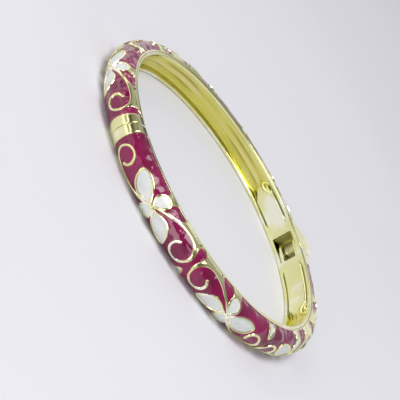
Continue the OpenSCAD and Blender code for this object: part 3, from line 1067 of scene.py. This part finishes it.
def makePetals(arm):
    pieces = spread(arm, petalFill, "long") + spread(arm, petalFill, "short")
    pieces += [budFill(at, side) for at, side in budPlaces()]
    for o in pieces:
        wrapOnRing(o, arm)
    obj = joinAll(pieces)
    finishPiece(obj, arm + "White", whiteFinish, 60)
    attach(obj, arm + "_half")
    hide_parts(arm + "_petals")
    print(arm, "white enamel made", len(obj.data.polygons), "faces")


def makePin():
    end = band["half"] - 0.01
    pin = addDisc(hinge["pinR"], hinge["pin"], -end, end, 48)
    bevelEdges(pin, 0.12, 4)
    placeOnArm(pin, "front")
    finishPiece(pin, "hingePin", pinFinish, 35)
    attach(pin, "rear_half")
    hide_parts("hinge_pin")


def makeSpring():
    # a coil between the ears with a short straight leg towards each arm
    r, leg, turns, sides = hinge["springR"], hinge["springLeg"], hinge["turns"], 40
    room = 2 * (earZ - hinge["earT"])
    pitch = (room - hinge["springWire"] - hinge["springPlay"]) / turns
    end = pitch * turns / 2
    path = [(r, -leg, -end), (r, -0.6, -end)]
    for i in range(turns * sides + 1):
        a = 2 * math.pi * i / sides
        path.append((r * math.cos(a), r * math.sin(a), pitch * i / sides - end))
    path += [(r, 0.6, end), (r, leg, end)]
    obj = addTube(path, hinge["springWire"] / 2, 3)
    writeCo(obj, readCo(obj) + [hinge["pin"], 0, 0])
    placeOnArm(obj, "front")
    finishPiece(obj, "hingeSpring", springFinish, 40)
    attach(obj, "rear_half")
    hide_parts("hinge_spring")


goldFinish, crimsonFinish = goldMaterial(), crimsonMaterial()
whiteFinish, springFinish, pinFinish = whiteMaterial(), springMaterial(), pinMaterial()
print("materials made")
for arm in ("front", "rear"):
    makeArm(arm)
    makeField(arm)
    makePetals(arm)
makePin()
makeSpring()
print("hinge made")


studio = {
    "floor": (0.86, 0.855, 0.90),
    # light from low down and from high up, at the back and on the near side
    "farLow": (0.90, 0.90, 0.94),
    "nearLow": (0.60, 0.60, 0.64),
    "farHigh": (0.42, 0.42, 0.46),
    "nearHigh": (0.13, 0.14, 0.13),
    "skyline": (0.3, 0.45),  # height between low and high
    "worldStrength": 0.9,
    # directions over the floor: ahead over the bangle and aside, where the collar's reflections come from
    "ahead": (0.80, 0.53),
    "aside": (-0.55, 0.83),
    # a dark screen stands low down at the back, which the polished rims show near the opening
    "screen": (0.06, 0.07, 0.05),
    "screenAside": (-0.01, 0.03, 0.075, 0.09),
    "screenHeight": (0.12, 0.2, 0.4, 0.5),
    # grey levels that the collar shows as bands, by height
    "bands": [(0.0, 0.9), (0.03, 0.9), (0.05, 0.08), (0.075, 0.08), (0.095, 1.0), (0.28, 1.0), (0.33, 0.24),
              (0.46, 0.3), (0.5, 1.0), (0.57, 1.0), (0.61, 0.03), (0.72, 0.04), (0.78, 0.2)],
    "bandsFrom": (0.34, 0.40),  # how far aside they start
    "bandStrength": 1.5,
    # the two lamps: place and diameter in metres, power in watts
    "key": ((-0.14, -0.035, 0.80), 0.5, 3.5),
    "fill": ((-0.42, -0.30, 0.20), 0.30, 0.7),
}


def makeFloor():
    deselect()
    bpy.ops.mesh.primitive_plane_add(size=2.4)
    floor = bpy.context.active_object
    floor.name = "floor"
    m, s = newMaterial("paleFloor")
    mottle = noise(s, s.node("ShaderNodeTexCoord", out=3), 9.0, 4.0)
    darker = [c * 0.97 for c in studio["floor"]]
    colour = mottle.between(0.3, 0.7).mixed(opaque(darker), opaque(studio["floor"]))
    finishMaterial(s, Base_Color=colour, Roughness=0.6, Specular_IOR_Level=0.2)
    floor.data.materials.append(m)


def addLamp(name):
    # a round soft light that points at the bangle
    at, size, power = studio[name]
    light = bpy.data.lights.new(name, "AREA")
    light.shape, light.size, light.energy = "DISK", size, power
    lamp = bpy.data.objects.new(name, light)
    bpy.context.collection.objects.link(lamp)
    lamp.location = at
    lamp.rotation_euler = (-Vector(at)).to_track_quat("-Z", "Y").to_euler()


def makeLight():
    world = bpy.data.worlds.new("studio")
    bpy.context.scene.world = world
    world.use_nodes = True
    s = Shade(world.node_tree)
    world.node_tree.nodes.clear()
    way = s.node("ShaderNodeTexCoord", out=0)
    x, y, z = [s.node("ShaderNodeSeparateXYZ", None, {0: way}, out=k) for k in range(3)]
    ahead, aside = [x * dx + y * dy for dx, dy in (studio["ahead"], studio["aside"])]
    far = ahead.between(-0.7, 0.6)
    low = far.mixed(opaque(studio["nearLow"]), opaque(studio["farLow"]))
    high = far.mixed(opaque(studio["nearHigh"]), opaque(studio["farHigh"]))
    sky = z.between(*studio["skyline"]).mixed(low, high)
    screen = aside.within(*studio["screenAside"]) * z.within(*studio["screenHeight"])
    sky = screen.mixed(sky, opaque(studio["screen"]))
    greys = [(height, (g, g, g * 0.98)) for height, g in studio["bands"]]
    bands = s.node("ShaderNodeValToRGB", {"stops": greys}, {0: z})
    beside = aside.between(*studio["bandsFrom"])
    strength = studio["worldStrength"] + beside * (studio["bandStrength"] - studio["worldStrength"])
    back = s.node("ShaderNodeBackground", None, {"Color": beside.mixed(sky, bands), "Strength": strength})
    s.node("ShaderNodeOutputWorld", None, {"Surface": back})
    addLamp("key")
    addLamp("fill")


view = {
    # the camera's place from the band's middle, in millimetres, and its right and down directions
    "place": (-237.08, -157.83, 91.92),
    "right": (0.50283, -0.25663, 0.82541),
    "down": (0.35410, -0.80995, -0.46754),
    "focal": 1576.1,      # in pixels of a frame this wide
    "frame": 400,
    "sensor": 36,
}


def makeCamera():
    data = bpy.data.cameras.new("camera")
    data.sensor_width, data.lens = view["sensor"], view["sensor"] * view["focal"] / view["frame"]
    data.clip_start, data.clip_end = 0.01, 10
    camera = bpy.data.objects.new("camera", data)
    bpy.context.collection.objects.link(camera)
    right, up = Vector(view["right"]).normalized(), -Vector(view["down"]).normalized()
    back = right.cross(up)
    up = back.cross(right)
    place = (Vector(view["place"]) + Vector((0, 0, band["half"]))) * mm
    camera.matrix_world = Matrix.Translation(place) @ Matrix((right, up, back)).transposed().to_4x4()
    bpy.context.scene.camera = camera


makeFloor()
makeLight()
makeCamera()
bpy.context.scene.view_settings.view_transform = "Standard"
print("stage set")
